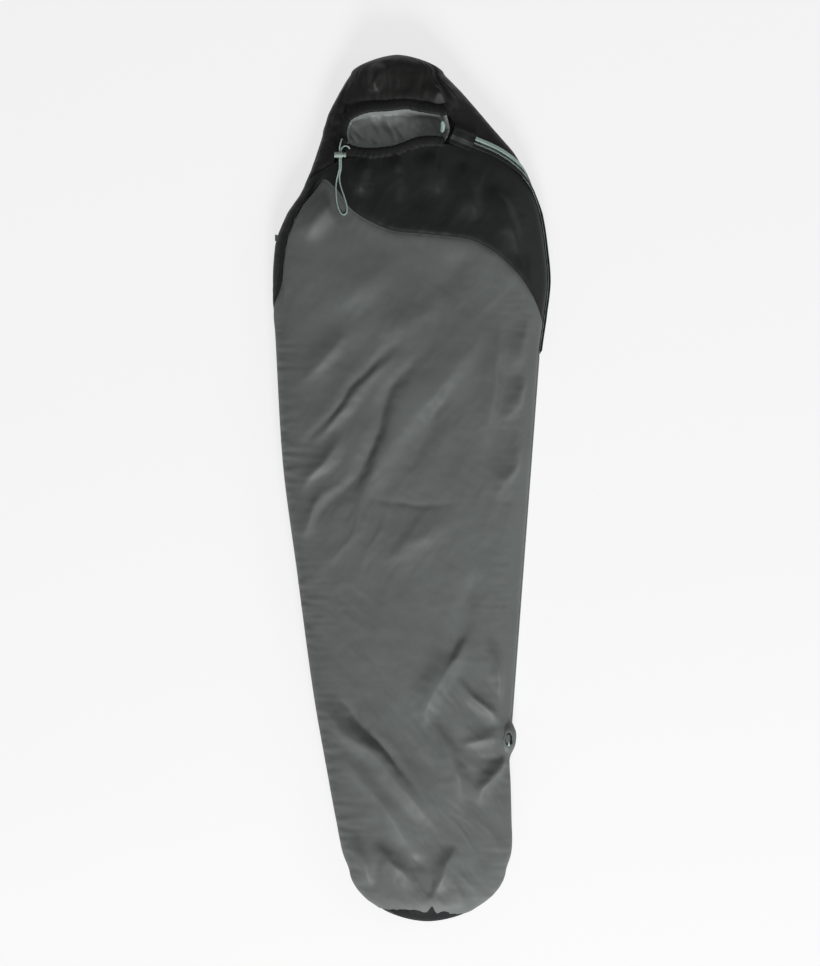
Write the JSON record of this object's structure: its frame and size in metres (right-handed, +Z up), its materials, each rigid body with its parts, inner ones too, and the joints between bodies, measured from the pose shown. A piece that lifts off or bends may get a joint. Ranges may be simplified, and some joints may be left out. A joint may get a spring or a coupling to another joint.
{
  "type": "mummy sleeping bag",
  "caption": "Hooded mummy sleeping bag laid flat, with a tapered quilted body, gathered face opening, drawcord with lock, curved two-way side zip and neck tab.",
  "frame": {"origin": "centre of the underside of the bag laid flat, halfway along its length", "axes": "+X across the bag towards the zip, +Y from the foot to the hood, +Z up out of the front"},
  "size_m": [0.684, 2.15, 0.1104],
  "materials": {
    "black_shell": "matt ripstop nylon",
    "grey_shell": "matt polyester taffeta",
    "lining": "soft wrinkled taffeta",
    "insulation": "fibre wadding",
    "hem_fabric": "gathered nylon",
    "cord": "braided polyester",
    "tape": "woven zip tape",
    "coil": "nylon coil",
    "lock_plastic": "satin moulded",
    "spring_steel": "drawn wire",
    "slider_metal": "satin lacquer",
    "patch": "hook and loop"
  },
  "bodies": {
    "bag": {"back_panel": "black_shell", "front_panel": "grey_shell", "chest_yoke": "black_shell", "foot_panel": "black_shell", "hood_crown": "black_shell", "hood_side_left": "black_shell", "hood_side_right": "black_shell", "insulation_back": "insulation", "insulation_front": "insulation", "insulation_side_left": "insulation", "insulation_side_right": "insulation", "insulation_foot": "insulation", "insulation_crown": "insulation", "insulation_hood_left": "insulation", "insulation_hood_right": "insulation", "lining_back": "lining", "lining_front": "lining", "lining_foot": "lining", "lining_hood": "lining", "draft_tube": "lining", "hood_hem": "hem_fabric", "neck_hem": "hem_fabric", "hem_cord": "cord", "drawcord_loop": "cord", "cord_eyelets": "hem_fabric", "zip_tape_front": "tape", "zip_tape_back": "tape", "zip_coil_front": "coil", "zip_coil_back": "coil", "zip_top_stop": "slider_metal", "zip_bottom_stop": "slider_metal", "tab_loop_patch": "patch", "side_loop": "tape"},
    "upper_slider": {"zip_slider_upper": "slider_metal"},
    "upper_pull": {"zip_pull_upper": "tape"},
    "lower_slider": {"zip_slider_lower": "slider_metal"},
    "lower_pull": {"zip_pull_lower": "tape"},
    "tab": {"neck_tab": "black_shell", "tab_hook_patch": "patch"},
    "cord_lock": {"cord_lock_body": "lock_plastic", "cord_lock_spring": "spring_steel"},
    "lock_button": {"cord_lock_button": "lock_plastic"}
  },
  "joints": [
    {"name": "upper_slide", "type": "slide", "parent": "bag", "child": "upper_slider", "axis": [0.92, -0.3727, -0.1217], "range_m": [0, 0.035]},
    {"name": "upper_pull_swing", "type": "hinge", "parent": "upper_slider", "child": "upper_pull", "pos_m": [0.14978, 0.86086, 0.09778], "axis": [0.3403, 0.9132, -0.224], "range_deg": [0, 8]},
    {"name": "lower_slide", "type": "slide", "parent": "bag", "child": "lower_slider", "axis": [0.0747, 0.9972, 0], "range_m": [0, 0.68]},
    {"name": "lower_pull_swing", "type": "hinge", "parent": "lower_slider", "child": "lower_pull", "pos_m": [0.25223, -0.58647, 0.02077], "axis": [0.4758, -0.0356, 0.8788], "range_deg": [0, 160]},
    {"name": "tab_open", "type": "hinge", "parent": "bag", "child": "tab", "pos_m": [0.14403, 0.88231, 0.08722], "axis": [-0.92, 0.3727, 0.1217], "range_deg": [0, 90]},
    {"name": "lock_slide", "type": "slide", "parent": "bag", "child": "cord_lock", "axis": [0, -1, 0], "range_m": [0, 0.022]},
    {"name": "lock_press", "type": "slide", "parent": "cord_lock", "child": "lock_button", "axis": [-1, 0, 0], "range_m": [0, 0.003], "stiffness_N_per_m": 800, "springref_m": -0.002, "deforming": ["cord_lock_spring"]}
  ]
}
